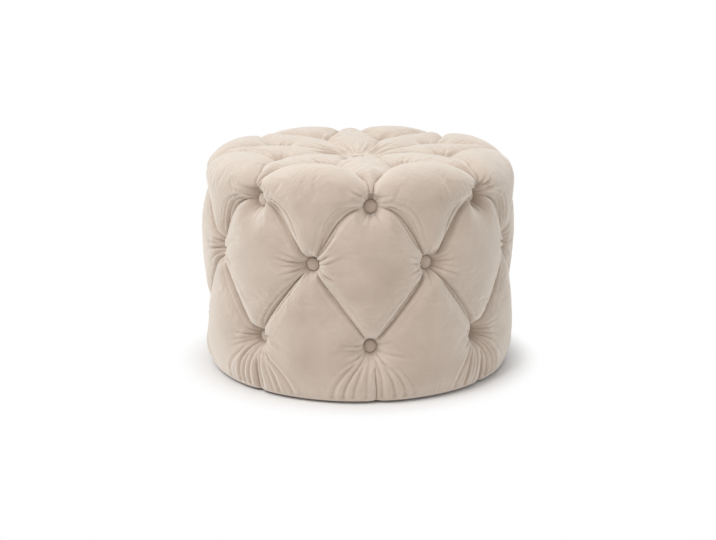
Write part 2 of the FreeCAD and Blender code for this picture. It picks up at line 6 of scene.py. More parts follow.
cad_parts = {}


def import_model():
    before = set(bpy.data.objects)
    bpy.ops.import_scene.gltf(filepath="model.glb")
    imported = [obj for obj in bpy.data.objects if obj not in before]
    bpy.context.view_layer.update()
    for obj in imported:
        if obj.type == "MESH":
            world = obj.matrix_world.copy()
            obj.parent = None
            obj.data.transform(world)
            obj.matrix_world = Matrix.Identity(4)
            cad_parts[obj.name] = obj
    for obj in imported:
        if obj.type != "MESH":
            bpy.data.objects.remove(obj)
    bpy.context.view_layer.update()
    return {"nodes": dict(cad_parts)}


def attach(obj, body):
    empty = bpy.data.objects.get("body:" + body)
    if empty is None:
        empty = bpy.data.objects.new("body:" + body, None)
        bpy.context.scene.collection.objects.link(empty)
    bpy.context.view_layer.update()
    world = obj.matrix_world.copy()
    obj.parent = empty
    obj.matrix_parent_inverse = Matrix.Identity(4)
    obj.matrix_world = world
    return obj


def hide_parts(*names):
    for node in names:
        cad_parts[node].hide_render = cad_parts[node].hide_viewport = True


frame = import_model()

# Sizes of the shown tuffet in millimetres. The crown is the surface that the puffs reach, and the floor is the
# drum that the buttons are pulled against. The crown lies a little inside the part's, because the velvet swells
# when it settles.
MM = 0.001
CROWN_R, HEM_R, PIT_R = 247.5, 238.0, 213.0
HEM_Z, SEAT_Z, PIT_Z = 4.2, 349.5, 328.0
SHOULDER_RUN, SHOULDER_R, DRUM_EDGE_R = 62.0, 48.0, 12.0
# The top's shallow dish, and the bowl in it: its rise from the pits, its slope and its blend with the dish
DISH, BOWL_RISE, BOWL_SLOPE, BOWL_BLEND = 2.0, 5.0, 0.145, 4.0
# The power by which the side draws in from the lower buttons to the hem
FLARE = 2.6
# Half the width of a pit, the radius of the ring of buttons on the top, and the heights of the rows on the side
PIT_HALF, RING_R = 10.5, 135.0
UPPER_Z, MIDDLE_Z, LOWER_Z = 294.0, 206.0, 84.0
COLUMNS = 8
PITCH = 2 * math.pi / COLUMNS
FIRST_COLUMN = math.radians(-85.5)
# The velvet under the base ring: the radius of its roll at the hem, how far above the hem it lies, and how far
# in from the edge its rings of points lie
HEM_ROLL, TUCKED_UP = 3.5, 0.85
TURNED_UNDER = (45.0, 30.0, 18.0, 9.0)

# Lengths along the crown from the hem: to the end of the side, of the shoulder and of the top, and to the
# buttons. A is the upper row, B the middle row, C the lower row and T the ring on the top.
SIDE_TOP, TOP_EDGE_R = UPPER_Z + PIT_HALF, RING_R + PIT_HALF
SIDE_END = SIDE_TOP - HEM_Z
RISE = SEAT_Z - SHOULDER_R - SIDE_TOP
ARC = math.pi / 2 * (SHOULDER_R + SHOULDER_RUN) / 2
INWARD = CROWN_R - SHOULDER_RUN - TOP_EDGE_R
SHOULDER_END = SIDE_END + RISE + ARC + INWARD
TOP_END = SHOULDER_END + TOP_EDGE_R
A_AT, B_AT, C_AT = UPPER_Z - HEM_Z, MIDDLE_Z - HEM_Z, LOWER_Z - HEM_Z
T_AT = SHOULDER_END + PIT_HALF

# How deep the buttons pull the velvet in. On the side they reach the drum, which stops them.
SIDE_PIT, TOP_PIT, MIDDLE_PIT = 37, 25, 26
# A pit's flat floor has a radius, its slope falls off over a length, and beyond its reach there is none of it
PIT_FLOOR, PIT_SLOPE, PIT_REACH = 10, 11.0, 60.0
# How deep a main crease lies at a button, and the power by which the depths of creases and pits merge
AT_BUTTON, MERGE = 31, 5
# Cross-sections: the power of a crease's dome, and how high and how many widths out a fold's raised edge lies
DOME, EDGE_RISE, EDGE_AT = 2.1, 0.55, 2.1
# From the edge of a fold to its inside: this difference in depth spans the range of the painted shade inside the
# folds and the painted highlight on their edges
FULL_FOLD = 3.2

# Fine folds beside the diamond's upper and lower sides: how far beside in mm, and how deep
BESIDE_UPPER = ((6.5, 2.4), (12.5, 2.0), (-6, 2.2), (19, 1.3), (-11, 1.4))
BESIDE_LOWER = ((5.5, 2.4), (-5.5, 2.2), (11.5, 1.8), (-11, 1.1))
# Folds that fan out from a button: half pitches from the column, place, tilts in degrees, length
FANS = (
    (0, A_AT, (30, 44, 58, 72), 44),
    (0, A_AT, (-60, -76, -88), 26),
    (1, B_AT, (-30, -20, -10, 0, 10, 20, 32), 50),
    (1, B_AT, (66, 78, -68, -80), 30),
    (0, C_AT, (-46, -30, -16, -4, 10, 24), 52),
    (0, C_AT, (66, 80), 24),
    (1, T_AT, (-40, -20, 0, 20, 40), 34),
)
# Gathers at the middle button and pleats at the hem: pitches from the column, and the pleats' depths
GATHERS = (-0.4, -0.27, -0.14, -0.02, 0.1, 0.23, 0.36)
PLEATS = (
    *((-0.31, 1.2), (-0.2, 2.2), (-0.13, 1.5), (-0.05, 1.4)),
    *((0.1, 2.4), (0.19, 1.5), (0.27, 1.7), (0.36, 1.0)),
)

FULL_GRID, QUICK_GRID, SETTLING_GRID = (1120, 400), (640, 230), (440, 156)


# The crown surface


def corner_path(way, radius, height, rounding, run, end_z):
    """Points of a path that rises, turns over an arc and runs inwards, for shares 0 to 1 of it."""
    rise, turn = RISE / (RISE + ARC + INWARD), (RISE + ARC) / (RISE + ARC + INWARD)
    up = np.clip(way / rise, 0, 1)
    bend = np.clip((way - rise) / (turn - rise), 0, 1) * math.pi / 2
    flat = np.clip((way - turn) / (1 - turn), 0, 1)
    low = height - rounding
    r = np.where(way < rise, radius, radius - run + run * np.cos(bend))
    z = np.where(way < rise, SIDE_TOP + (low - SIDE_TOP) * up, low + rounding * np.sin(bend))
    r = np.where(way > turn, (radius - run) + (TOP_EDGE_R - radius + run) * flat, r)
    z = np.where(way > turn, height + (end_z - height) * flat, z)
    return r, z


def top_z(r):
    """Height of the top: nearly flat outside, and a wide bowl down to the middle button."""
    flat = SEAT_Z - DISH * (1 - r / (CROWN_R - SHOULDER_RUN))
    bowl = PIT_Z + BOWL_RISE + BOWL_SLOPE * r
    return -BOWL_BLEND * np.logaddexp(-flat / BOWL_BLEND, -bowl / BOWL_BLEND)


def guides(y):
    """Crown and floor of the padding at a length along the crown: two radii and heights."""
    side_z = HEM_Z + y
    flare = np.clip(1 - (side_z - HEM_Z) / (LOWER_Z - PIT_HALF - HEM_Z), 0, 1)
    side = CROWN_R - (CROWN_R - HEM_R) * flare**FLARE, side_z, np.full_like(y, PIT_R), side_z
    way = (y - SIDE_END) / (SHOULDER_END - SIDE_END)
    outer = corner_path(way, CROWN_R, SEAT_Z, SHOULDER_R, SHOULDER_RUN, top_z(TOP_EDGE_R))
    inner = corner_path(way, PIT_R, PIT_Z, DRUM_EDGE_R, DRUM_EDGE_R, PIT_Z)
    on_top = TOP_END - y
    top = on_top, top_z(on_top), on_top, np.full_like(y, PIT_Z)
    parts = zip(side, (*outer, *inner), top)
    return [np.where(y > SHOULDER_END, c, np.where(y > SIDE_END, b, a)) for a, b, c in parts]


def at(u, r, z):
    """Points at column coordinates u, radii and heights."""
    turn = FIRST_COLUMN + u * PITCH
    return np.stack([r * np.cos(turn), r * np.sin(turn), z], -1)


def crown_at(u, y):
    """Points on the crown at column coordinates u and lengths y."""
    r, z, _, _ = guides(np.asarray(y, float))
    return at(np.asarray(u, float), r, z)


def crown_radius(y, least):
    """Radius of the crown at a length y, or the least radius where it is smaller."""
    return max(float(guides(np.array([y]))[0][0]), least)


def curve(points, steps=14):
    """A cubic curve in the crown surface with four control points (u, y): its points, and their (u, y)."""
    t = np.linspace(0, 1, steps)[:, None]
    a, b, c, d = (np.array(p, float) for p in points)
    path = (1 - t) ** 3 * a + 3 * (1 - t) ** 2 * t * b + 3 * (1 - t) * t**2 * c + t**3 * d
    return crown_at(path[:, 0], path[:, 1]), path


def shifted(u, y, across, along):
    """(u, y) moved by millimetres round and up the crown."""
    return u + across / (PITCH * crown_radius(y + along * 0.5, 30.0)), y + along


# The tufted cover: how deep each place of a grid lies under the crown


class Cover:
    """The grid of the cover, on which creases, pits and folds are pressed."""

    def __init__(self, across, along):
        self.u = np.arange(across) * COLUMNS / across
        self.y = np.linspace(0, TOP_END, along + 1)[:-1]
        self.uu, self.yy = np.meshgrid(self.u, self.y)
        self.turn = FIRST_COLUMN + self.uu * PITCH
        self.crown = crown_at(self.uu, self.yy)
        self.main = np.zeros_like(self.uu)
        self.fine = np.zeros_like(self.uu)
        self.rng = np.random.default_rng(11)

    def wander(self, size):
        """A random amount either way, so that no two folds are alike."""
        return float(self.rng.uniform(-size, size))

    def near(self, path, reach):
        """Distance and share along a path for the grid's points within reach of it."""
        points, uy = path
        low, high = uy[:, 1].min() - reach, uy[:, 1].max() + reach
        rows = np.nonzero((self.y >= low) & (self.y <= high))[0]
        # the columns of the grid that the reach can touch, counted where the crown is narrowest
        least = crown_radius(min(high, TOP_END - 25.0), 25.0)
        span = min(reach / (PITCH * least) + 0.02, COLUMNS / 2)
        middle = (uy[:, 0].min() + uy[:, 0].max()) / 2
        half = (uy[:, 0].max() - uy[:, 0].min()) / 2 + span
        offset = (self.u - middle + COLUMNS / 2) % COLUMNS - COLUMNS / 2
        pick = np.ix_(rows, np.nonzero(abs(offset) <= half)[0])
        place = self.crown[pick]
        best = np.full(place.shape[:2], np.inf)
        share = np.zeros(place.shape[:2])
        count = len(points) - 1
        for index in range(count):
            start, run = points[index], points[index + 1] - points[index]
            t = np.clip(((place - start) @ run) / (run @ run), 0, 1)
            gap = np.linalg.norm(place - start - t[..., None] * run, axis=-1)
            closer = gap < best
            best = np.where(closer, gap, best)
            share = np.where(closer, (index + t) / count, share)
        return pick, best, share

    def crease(self, path, start, middle, end, reach=72.0, steep=0.64, width=25.0, sharp=4.0):
        """A main crease: the puffs meet along it with round shoulders and fall away slowly."""
        pick, gap, share = self.near(path, reach)
        edge = np.where(share < 0.5, start, end)
        deep = middle + (edge - middle) * abs(1 - 2 * share) ** sharp
        dome = np.clip(1 - gap / reach, 0, 1) ** DOME
        shoulder = 1 - np.sqrt(1 - (1 - np.clip(gap / width, 0, 1)) ** 2)
        fall = (1 - steep) * dome + steep * shoulder
        self.main[pick] += np.clip(deep * fall, 0, None) ** MERGE

    def groove(self, path, depth, width, rise=0.25, fade=0.75, widen=1.0):
        """A fine fold: a narrow groove with a raised edge, which starts and fades out along its path."""
        pick, gap, share = self.near(path, 4 * width * max(widen, 1))
        swell = np.clip(share / rise, 0, 1) * np.clip((1 - share) / (1 - fade), 0, 1)
        swell = swell * swell * (3 - 2 * swell)
        broad = width * (1 + (widen - 1) * share)
        edge = np.exp(-(((gap - EDGE_AT * broad) / broad) ** 2))
        self.fine[pick] += depth * swell * (np.exp(-((gap / broad) ** 2)) - EDGE_RISE * edge)

    def pit(self, u, y, depth):
        """The funnel that a button pulls into the padding."""
        spot = crown_at(u, y)
        pick, gap, _ = self.near((np.stack([spot, spot + 0.01]), np.array([[u, y], [u, y]])), PIT_REACH)
        funnel = np.where(gap < PIT_FLOOR, 1.0, np.exp(-np.clip(gap - PIT_FLOOR, 0, None) / PIT_SLOPE))
        self.main[pick] += (depth * funnel) ** MERGE

    def middle_pit(self, depth, floor=9, steep=(0.62, 9.0), wide=(0.38, 30.0)):
        """The deep gather round the middle button of the top.

        It is a steep part in a wide one, each with its share of the depth and the length that it falls off over.
        """
        gap = np.clip(TOP_END - self.yy - floor, 0, None)
        funnel = sum(share * np.exp(-gap / length) for share, length in (steep, wide))
        self.main += (depth * funnel) ** MERGE

    def points(self):
        """The cover's points in mm, and how deep each lies."""
        r, z, floor_r, floor_z = guides(self.y)
        inward = np.stack([floor_r - r, floor_z - z], -1)
        reach = np.linalg.norm(inward, axis=1)
        inward /= reach[:, None]
        limit = reach[:, None]
        deep = np.minimum(self.main ** (1 / MERGE), limit)
        deep = deep + self.fine * np.clip((limit - deep) / np.minimum(8, 0.4 * limit), 0, 1)
        deep = np.minimum(deep, limit)
        return at(self.uu, r[:, None] + inward[:, :1] * deep, z[:, None] + inward[:, 1:] * deep), deep


def press_upper_side(cover, i, side):
    """A side of the diamond under the upper button: it leaves the button sideways, then falls."""
    wander = cover.wander
    start, end = (i, A_AT), (i + 0.5 * side, B_AT)
    one = shifted(*start, side * (54 + wander(3)), 8 + wander(3))
    two = shifted(*end, -side * (38 + wander(4)), 46 + wander(4))
    cover.crease(curve((start, one, two, end), 20), AT_BUTTON, 21 + wander(2), AT_BUTTON)
    for away, deep in BESIDE_UPPER:
        away += wander(1.2)
        path = (
            shifted(*start, side * 10, away * 0.3),
            shifted(*one, side * away * (0.9 + wander(0.3)), away * (0.5 + wander(0.2))),
            shifted(*two, side * away * (0.8 + wander(0.3)), away * (0.6 + wander(0.3))),
            shifted(*end, -side * 8, 8),
        )
        cover.groove(
            curve(path, 18),
            deep + wander(0.4),
            width=1.5,
            rise=0.15 + abs(wander(0.2)),
            fade=0.6 + wander(0.25),
        )


def press_lower_side(cover, i, side):
    """A side of the diamond over the lower button, which runs nearly straight down to it."""
    wander = cover.wander
    start, end = (i + 0.5 * side, B_AT), (i, C_AT)
    one = shifted(*start, -side * (30 + wander(4)), -36 + wander(3))
    two = shifted(*end, side * (26 + wander(4)), 38 + wander(4))
    cover.crease(curve((start, one, two, end)), AT_BUTTON, 20 + wander(2), AT_BUTTON)
    for away, deep in BESIDE_LOWER:
        away += wander(1)
        path = (
            shifted(*start, -side * 7, -8),
            shifted(*one, -side * away * (1 + wander(0.3)), -away * 0.4),
            shifted(*two, -side * away * (1.1 + wander(0.3)), -away * 0.3),
            shifted(*end, side * 7, 8),
        )
        cover.groove(
            curve(path, 18),
            deep + wander(0.4),
            width=1.5,
            rise=0.12 + abs(wander(0.2)),
            fade=0.65 + wander(0.25),
        )


def press_kite(cover, i, side):
    """A side of the kite above the upper button, narrow over the edge and open on the top."""
    start, end = (i, A_AT), (i + 0.5 * side, T_AT)
    one = shifted(*start, side * (5 + cover.wander(2)), 48)
    two = (i + side * (0.05 + cover.wander(0.015)), T_AT - 30)
    cover.crease(curve((start, one, two, end), 20), AT_BUTTON, 17 + cover.wander(2), 25)


def press_fans(cover, i, side):
    """Fine folds that fan out from the buttons."""
    wander = cover.wander
    for halves, y, tilts, length in FANS:
        for tilt in tilts:
            angle = math.radians(tilt + wander(4))
            far = length * (1 + wander(0.35))
            bend = math.radians(wander(14))
            run = []
            for share in (0.2, 0.45, 0.75, 1.0):
                turn, away = angle + bend * share, far * share
                run.append(shifted(i + halves / 2, y, side * away * math.cos(turn), away * math.sin(turn)))
            cover.groove(curve(run), 2.4 + wander(0.9), width=1.35, rise=0.12, fade=0.15, widen=2.0)


def press_gathers(cover, i):
    """Gathers that run in to the middle button of the top."""
    half = i + 0.5
    path = ((half, T_AT), (half, T_AT + 35), (half, TOP_END - 45), (half, TOP_END - 4))
    cover.crease(curve(path), 25, 13, 24, reach=60.0)
    for share in GATHERS:
        u = i + share + cover.wander(0.03)
        far = TOP_END - 84 + cover.wander(18)
        path = curve(((u, far), (u, TOP_END - 50), (u, TOP_END - 28), (u, TOP_END - 8)))
        cover.groove(path, 4.6 + cover.wander(1.2), width=2.7, rise=0.7, fade=0.98, widen=0.55)


def press_pleats(cover, i):
    """Pleats from the lower button down to the hem, the deepest of them just beside it."""
    foot = i + 0.03 + cover.wander(0.02)
    path = ((i + 0.02, C_AT - 12), (i + 0.03, C_AT - 36), (foot, 28), (foot, 1))
    cover.crease(curve(path), 18, 11, 9, reach=42.0, steep=0.8, width=13.0, sharp=3.0)
    for share, deep in PLEATS:
        u = i + share + cover.wander(0.035)
        path = curve(((i + share * 0.3, C_AT - 15), (i + share * 0.7, C_AT - 34), (u, 30), (u, 2)))
        cover.groove(path, deep + cover.wander(0.5), width=2.0, rise=0.12, fade=0.9, widen=1.7)


def pressed(across, along):
    """A cover with the pits, creases and folds of all its columns."""
    cover = Cover(across, along)
    for i in range(COLUMNS):
        cover.pit(i, A_AT, SIDE_PIT)
        cover.pit(i + 0.5, B_AT, SIDE_PIT)
        cover.pit(i, C_AT, SIDE_PIT)
        cover.pit(i + 0.5, T_AT, TOP_PIT)
        for side in (-1, 1):
            press_upper_side(cover, i, side)
            press_lower_side(cover, i, side)
            press_kite(cover, i, side)
            press_fans(cover, i, side)
        press_gathers(cover, i)
        press_pleats(cover, i)
    cover.middle_pit(MIDDLE_PIT)
    return cover


# Meshes


def mesh_object(name, points, faces, smooth=True):
    """An object in the scene with a mesh of points in metres and faces."""
    mesh = bpy.data.meshes.new(name)
    mesh.from_pydata([tuple(p) for p in points], [], faces)
    mesh.update()
    if smooth:
        mesh.shade_smooth()
    made = bpy.data.objects.new(name, mesh)
    bpy.context.scene.collection.objects.link(made)
    return made


def apply_modifiers(obj):
    """Gives an object the plain mesh that its modifiers make, and removes them."""
    graph = bpy.context.evaluated_depsgraph_get()
    result = bpy.data.meshes.new_from_object(obj.evaluated_get(graph))
    obj.modifiers.clear()
    obj.data = result


def put_on(obj, finish):
    """Gives an object one finish in place of those it has."""
    obj.data.materials.clear()
    obj.data.materials.append(finish)


def grid_faces(rows, across):
    """Quads between rings of points, closed round."""
    index = np.arange(rows * across).reshape(rows, across)
    following = np.roll(index, -1, 1)
    return np.stack([index[:-1], following[:-1], following[1:], index[1:]], -1).reshape(-1, 4)


def capped_faces(rows, across):
    """The same, closed at both ends to two more points that follow the rings."""
    faces = grid_faces(rows, across).tolist()
    low, high, last = rows * across, rows * across + 1, (rows - 1) * across
    for k in range(across):
        follow = (k + 1) % across
        faces.append([low, follow, k])
        faces.append([last + k, last + follow, high])
    return faces


# The cloth simulation and the finished cover


def turned(vectors, angle):
    """Vectors turned about the tuffet's axis."""
    x, y, z = vectors[..., 0], vectors[..., 1], vectors[..., 2]
    return np.stack([x * np.cos(angle) - y * np.sin(angle), x * np.sin(angle) + y * np.cos(angle), z], -1)


def upsampled(field, across, along):
    """A coarse grid's field, closed round, brought to a finer grid."""
    rows, columns = field.shape[:2]
    down = np.arange(along) * rows / along
    low = np.clip(np.floor(down).astype(int), 0, rows - 2)
    t = np.clip(down - low, 0, 1)[:, None, None]
    field = field[low] * (1 - t) + field[low + 1] * t
    over = np.arange(across) * columns / across
    left = np.floor(over).astype(int)
    t = (over - left)[None, :, None]
    return field[:, left % columns] * (1 - t) + field[:, (left + 1) % columns] * t


def between(value, none, full):
    """0 to 1 as a value goes from one limit to the other."""
    return np.clip((value - none) / (full - none), 0, 1)


def hold(trial, held, levels=20):
    """Name of a vertex group that holds a cloth as firmly as the shares in held say, in steps."""
    group = trial.vertex_groups.new(name="held")
    step = np.round(held * levels).astype(int)
    for level in range(1, levels + 1):
        group.add(np.nonzero(step == level)[0].tolist(), level / levels, "REPLACE")
    return group.name


def settled(across, along, cap=3.5, frames=20):
    """How far the velvet moves in a cloth simulation, in mm: outwards, round and up.

    The padding presses on it from inside, and the cloth has 0.7 % to spare, which makes soft ripples.
    """
    cover = pressed(across, along)
    cover.fine[:] = 0
    skin, deep = cover.points()
    trial = mesh_object("settling", skin.reshape(-1, 3) * MM, grid_faces(along, across).tolist())
    # the cloth is held deep in pits and creases, at the hem and at the middle button
    held = np.maximum(between(deep, 7, 19), between(cover.yy, 14, 6))
    held = np.maximum(held, between(TOP_END - cover.yy, 22, 16))
    group = hold(trial, held.ravel())
    cloth = trial.modifiers.new("settling", "CLOTH")
    rules = {
        "quality": 4,
        "mass": 0.0004,
        "tension_stiffness": 8,
        "compression_stiffness": 8,
        "shear_stiffness": 3,
        "bending_stiffness": 0.02,
        "use_pressure": True,
        "uniform_pressure_force": 4.0,
        "vertex_group_mass": group,
        "pin_stiffness": 1.0,
        "shrink_min": -0.007,
    }
    for name, value in rules.items():
        setattr(cloth.settings, name, value)
    cloth.settings.effector_weights.gravity = 0
    cloth.collision_settings.use_collision = False
    cloth.point_cache.frame_start, cloth.point_cache.frame_end = 1, frames
    scene = bpy.context.scene
    for number in range(1, frames + 1):
        scene.frame_set(number)
    result = trial.evaluated_get(bpy.context.evaluated_depsgraph_get()).data
    flat = np.empty(len(result.vertices) * 3, np.float32)
    result.vertices.foreach_get("co", flat)
    scene.frame_set(1)
    bpy.data.objects.remove(trial)
    moved = flat.reshape(along, across, 3) / MM - skin
    size = np.linalg.norm(moved, axis=-1, keepdims=True)
    return turned(moved * np.minimum(1, cap / np.maximum(size, 1e-6)), -cover.turn)


def folded(deep, step):
    """How far each place lies in a fold (above 0.5) or on its edge (below)."""
    near = [np.roll(deep, (a, b), (0, 1)) for a in (-step, 0, step) for b in (-step, 0, step)]
    fold = np.clip(0.5 + (deep - np.mean(near, 0)) / FULL_FOLD, 0, 1)
    fold[:4] = fold[-4:] = 0.5
    return fold


def tufted_cover(across, along):
    """The whole velvet, from under the base ring up the side to the middle of the top."""
    cover = pressed(across, along)
    skin, deep = cover.points()
    skin += turned(upsampled(settled(*SETTLING_GRID), across, along), cover.turn)
    # the velvet rolls in under the base ring and closes flat under the base cloth
    reach = np.linalg.norm(skin[0, :, :2], axis=1)
    radial = skin[0, :, :2] / reach[:, None]
    under = [(reach - run, HEM_Z + TUCKED_UP) for run in TURNED_UNDER]
    for angle in np.radians((0, 25, 50, 75)):
        r = reach - HEM_ROLL + HEM_ROLL * math.sin(angle)
        under.append((r, HEM_Z + HEM_ROLL - HEM_ROLL * math.cos(angle)))
    under = np.stack([np.column_stack([radial * r[:, None], np.full(across, z)]) for r, z in under])
    keep = cover.y > HEM_ROLL
    rings = np.concatenate([under, skin[keep]])
    middle = [[0, 0, HEM_Z + TUCKED_UP], [0, 0, float(rings[-1, :, 2].mean())]]
    points = np.concatenate([rings.reshape(-1, 3), middle]) * MM
    made = mesh_object("tufted_velvet", points, capped_faces(len(rings), across))
    # the folds, for the velvet's colour: painted shade inside them and a painted highlight on their edges
    fold = folded(deep, round(3 * across / FULL_GRID[0]))
    fold = np.concatenate([np.full(len(under) * across, 0.5), fold[keep].ravel(), [0.5, 0.5]])
    made.data.attributes.new("fold", "FLOAT", "POINT").data.foreach_set("value", fold.astype(np.float32))
    return made


# Materials

MIX_A, MIX_B, MIX_RESULT = 6, 7, 2  # the colour sockets of a Mix node


def linear(code):
    """A colour from its sRGB hex value."""
    parts = [int(code[k : k + 2], 16) / 255 for k in (1, 3, 5)]
    return (*[p / 12.92 if p <= 0.04045 else ((p + 0.055) / 1.055) ** 2.4 for p in parts], 1.0)


def per_metre(size):
    """A noise texture's scale for grains of a size in millimetres."""
    return 1000 / size


def node(tree, kind, links=None, **settings):
    """Adds a node with its settings, input values and links by socket name or number."""
    made = tree.nodes.new(kind)
    for key, value in settings.items():
        setattr(made, key, value)
    for key, value in (links or {}).items():
        socket = made.inputs[key]
        if isinstance(value, bpy.types.NodeSocket):
            tree.links.new(value, socket)
        else:
            socket.default_value = value
    return made


def material(name):
    """A new material and its empty node tree."""
    made = bpy.data.materials.new(name)
    made.use_nodes = True
    made.node_tree.nodes.clear()
    return made, made.node_tree


def velvet(name, seed, creased):
    """Cotton velvet, woven with a short cut pile.

    The eye gets a matt warm stone colour with clouds where the nap lies another way, painted shade as darker
    lines in the folds with a painted highlight on their edges, and a painted sheen that pales the colour
    wherever the pile turns away.
    """
    made, tree = material(name)
    place = node(tree, "ShaderNodeTexCoord").outputs["Object"]
    clouds = {"Vector": place, "W": seed, "Scale": per_metre(62.5), "Detail": 4.0, "Roughness": 0.55}
    cloud = node(tree, "ShaderNodeTexNoise", clouds, noise_dimensions="4D").outputs["Fac"]
    facing = node(tree, "ShaderNodeLayerWeight", {"Blend": 0.5}).outputs["Facing"]
    # the clouds, the painted shade inside the folds and painted highlight on their edges, and the painted sheen
    # that pales the pile where it turns away: from and to which value, how strong
    layers = [(cloud, 0.30, 0.70, 1.0, "#CABAAC")]
    if creased:
        fold = node(tree, "ShaderNodeAttribute", attribute_name="fold").outputs["Fac"]
        # painted shade darkens the folds' insides, and a painted highlight lightens their edges
        layers += [(fold, 0.52, 0.95, 0.24, "#8A7565"), (fold, 0.48, 0.2, 0.12, "#E9DED2")]
    # painted sheen: the colour turns pale where the pile faces away from the view
    layers.append((facing, 0.12, 0.95, 0.85, "#EFE6DB"))
    tone = linear("#B9A899")
    for value, low, high, most, colour in layers:
        limits = {"Value": value, "From Min": low, "From Max": high, "To Max": most}
        share = node(tree, "ShaderNodeMapRange", limits).outputs["Result"]
        tones = {"Factor": share, MIX_A: tone, MIX_B: linear(colour)}
        tone = node(tree, "ShaderNodeMix", tones, data_type="RGBA").outputs[MIX_RESULT]
    # tufts of the pile, drawn at 1.1 mm because the real ones of about 0.3 mm are too fine to show
    tufts = {"Vector": place, "Scale": per_metre(10 / 9), "Detail": 2.0, "Roughness": 0.7}
    pile = node(tree, "ShaderNodeTexNoise", tufts).outputs["Fac"]
    bump = node(tree, "ShaderNodeBump", {"Height": pile, "Strength": 0.35, "Distance": 0.6 * MM})
    inputs = {
        "Base Color": tone,
        "Roughness": 0.88,
        "IOR": 1.46,
        "Specular IOR Level": 0.25,
        "Sheen Weight": 0.6,
        "Sheen Roughness": 0.4,
        "Sheen Tint": linear("#FFF4EA"),
        "Normal": bump.outputs["Normal"],
    }
    shader = node(tree, "ShaderNodeBsdfPrincipled", inputs)
    node(tree, "ShaderNodeOutputMaterial", {"Surface": shader.outputs["BSDF"]})
    return made


def mottled(name, colours, grain, stretch, roughness, relief=0.2, metallic=0.0, ior=1.5):
    """A finish of two tones in a mottled or streaked pattern, with its grain and relief in millimetres."""
    made, tree = material(name)
    place = node(tree, "ShaderNodeTexCoord").outputs["Object"]
    streaks = node(tree, "ShaderNodeMapping", {"Vector": place, "Scale": stretch}).outputs["Vector"]
    noise = {"Vector": streaks, "Scale": per_metre(grain), "Detail": 5.0}
    pattern = node(tree, "ShaderNodeTexNoise", noise).outputs["Fac"]
    share = node(tree, "ShaderNodeMapRange", {"Value": pattern, "From Min": 0.35, "From Max": 0.65})
    tones = {"Factor": share.outputs["Result"], MIX_A: linear(colours[0]), MIX_B: linear(colours[1])}
    bump = node(tree, "ShaderNodeBump", {"Height": pattern, "Strength": 0.4, "Distance": relief * MM})
    inputs = {
        "Base Color": node(tree, "ShaderNodeMix", tones, data_type="RGBA").outputs[MIX_RESULT],
        "Roughness": roughness,
        "Metallic": metallic,
        "IOR": ior,
        "Normal": bump.outputs["Normal"],
    }
    shader = node(tree, "ShaderNodeBsdfPrincipled", inputs)
    node(tree, "ShaderNodeOutputMaterial", {"Surface": shader.outputs["BSDF"]})
    return made


EVEN, ALONG_X, ALONG_Z = (1, 1, 1), (1, 12, 12), (12, 12, 1)  # streaks are 12 times as long as wide

cover_velvet = velvet("cotton_velvet", 0.0, True)
button_velvet = velvet("cotton_velvet_on_buttons", 3.0, False)
# Birch plywood, sawn and sanded: pale, with long soft streaks of grain
birch_plywood = mottled("birch_plywood", ("#C9A877", "#DCC297"), 50 / 3, ALONG_X, 0.6)
# Softwood, planed: pale yellow, with streaks along the posts
softwood = mottled("planed_softwood", ("#CDAE7C", "#E0C79C"), 20, ALONG_Z, 0.55)
# Hardboard, pressed from wood fibres: brown with small specks
hardboard = mottled("hardboard", ("#6E4C30", "#8A6240"), 2.5, EVEN, 0.7)
# Linen twine, laid and waxed: off-white with a dull shine, its fibres drawn coarser than they are
waxed_twine = mottled("waxed_linen_twine", ("#CFC4A6", "#E3DAC0"), 10 / 9, EVEN, 0.6)
# Nylon, moulded: milky white, smooth and half gloss
toggle_nylon = mottled("moulded_nylon", ("#DEDDD6", "#E8E7E1"), 5, EVEN, 0.45)
# Spunbond polypropylene, fibres bonded into a thin cloth at points: black, quite matt and slightly fuzzy
spunbond = mottled("black_spunbond_cloth", ("#161616", "#242424"), 10 / 7, EVEN, 0.95, relief=0.4)
# Polypropylene, moulded: black with a dull shine
glide_plastic = mottled("black_moulded_glide", ("#0E0E0E", "#171717"), 10 / 3, EVEN, 0.4)
# Steel wire, drawn and zinc plated: light grey and half bright
steel = mottled("zinc_plated_steel", ("#A9ABAD", "#C3C5C7"), 2, EVEN, 0.35, metallic=1.0)

NODE_FINISHES = {
    "top_board": birch_plywood,
    "base_ring": birch_plywood,
    "drum_wall": hardboard,
    "front_right_post": softwood,
    "rear_right_post": softwood,
    "rear_left_post": softwood,
    "front_left_post": softwood,
    "top_twines": waxed_twine,
    "upper_row_twines": waxed_twine,
    "middle_row_twines": waxed_twine,
    "lower_row_twines": waxed_twine,
    "twine_toggles": toggle_nylon,
    "glides": glide_plastic,
    "glide_nails": steel,
    "cover_staples": steel,
    "base_cloth_staples": steel,
    "frame_staples": steel,
}
for name, finish in NODE_FINISHES.items():
    put_on(frame["nodes"][name], finish)


# Covered buttons

# Radii and heights of a covered button's rolled rim and domed face
BUTTON_OUTLINE = (
    *((6.5, 0.0), (8.8, 0.25), (9.5, 0.9), (9.6, 1.6), (9.3, 2.4)),
    *((8.6, 3.1), (7.4, 3.75), (5.8, 4.3), (4.0, 4.65), (2.0, 4.85)),
)
BUTTON_R, BUTTON_TOP = 9.5, 4.9
BUTTON_SEAT = 0.3  # how far the button's back stands off the drum
GATHER_DEPTH, GATHER_REACH = 0.18, 1.6


